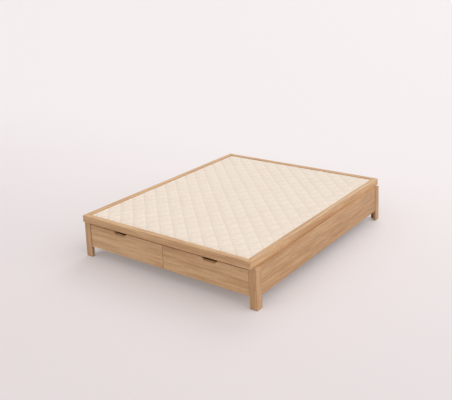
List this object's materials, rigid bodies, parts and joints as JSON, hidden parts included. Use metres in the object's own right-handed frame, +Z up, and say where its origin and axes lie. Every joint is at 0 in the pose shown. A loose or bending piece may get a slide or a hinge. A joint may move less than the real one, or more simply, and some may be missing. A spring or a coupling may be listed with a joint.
{
  "type": "storage bed base",
  "caption": "Low oak bed base with a quilted fabric deck inside a mitred frame, L-shaped legs, side panels and notched drawers at the foot end.",
  "frame": {"origin": "centre of the base on the floor", "axes": "+X to the right seen from the foot end, +Y from foot to head, +Z up"},
  "size_m": [1.648, 1.964, 0.357],
  "materials": {
    "oak": "light oak veneer, satin",
    "pine": "plain sawn softwood",
    "plywood": "birch plywood, sealed",
    "steel": "zinc plated",
    "felt": "pressed felt",
    "foam": "open-cell foam",
    "quilt": "woven cover, diamond quilted"
  },
  "bodies": {
    "base": {"foot_rail": "oak", "head_rail": "oak", "left_rail": "oak", "right_rail": "oak", "left_side_panel": "oak", "right_side_panel": "oak", "head_panel": "oak", "left_foot_leg_return": "oak", "right_foot_leg_return": "oak", "left_foot_leg_face": "oak", "right_foot_leg_face": "oak", "left_head_leg_return": "oak", "right_head_leg_return": "oak", "left_head_leg_face": "oak", "right_head_leg_face": "oak", "stretcher": "pine", "divider": "pine", "left_cleat": "pine", "right_cleat": "pine", "left_runner_board": "pine", "right_runner_board": "pine", "corner_blocks": "pine", "centre_leg_foot": "pine", "centre_leg_head": "pine", "bearer_1": "pine", "bearer_2": "pine", "bearer_3": "pine", "bearer_4": "pine", "bearer_5": "pine", "bearer_6": "pine", "bearer_7": "pine", "deck_board_foot": "plywood", "deck_board_head": "plywood", "left_runner_fixed": "steel", "right_runner_fixed": "steel", "corner_brackets": "steel", "foot_pads": "felt", "foam_sheet": "foam", "quilted_cover": "quilt"},
    "left_drawer": {"left_drawer_front": "oak", "left_drawer_inner_side": "plywood", "left_drawer_outer_side": "plywood", "left_drawer_back": "plywood", "left_drawer_bottom": "plywood", "left_runner_inner": "steel"},
    "left_runner": {"left_runner_middle": "steel"},
    "right_drawer": {"right_drawer_front": "oak", "right_drawer_inner_side": "plywood", "right_drawer_outer_side": "plywood", "right_drawer_back": "plywood", "right_drawer_bottom": "plywood", "right_runner_inner": "steel"},
    "right_runner": {"right_runner_middle": "steel"}
  },
  "joints": [
    {"name": "left_drawer_slide", "type": "slide", "parent": "base", "child": "left_drawer", "axis": [0, -1, 0], "range_m": [0, 0.52]},
    {"name": "left_runner_slide", "type": "slide", "parent": "base", "child": "left_runner", "axis": [0, -1, 0], "range_m": [0, 0.26]},
    {"name": "right_drawer_slide", "type": "slide", "parent": "base", "child": "right_drawer", "axis": [0, -1, 0], "range_m": [0, 0.52]},
    {"name": "right_runner_slide", "type": "slide", "parent": "base", "child": "right_runner", "axis": [0, -1, 0], "range_m": [0, 0.26]}
  ],
  "couplings": [
    {"joint": "left_runner_slide", "follows": "left_drawer_slide", "ratio": 0.5},
    {"joint": "right_runner_slide", "follows": "right_drawer_slide", "ratio": 0.5}
  ]
}
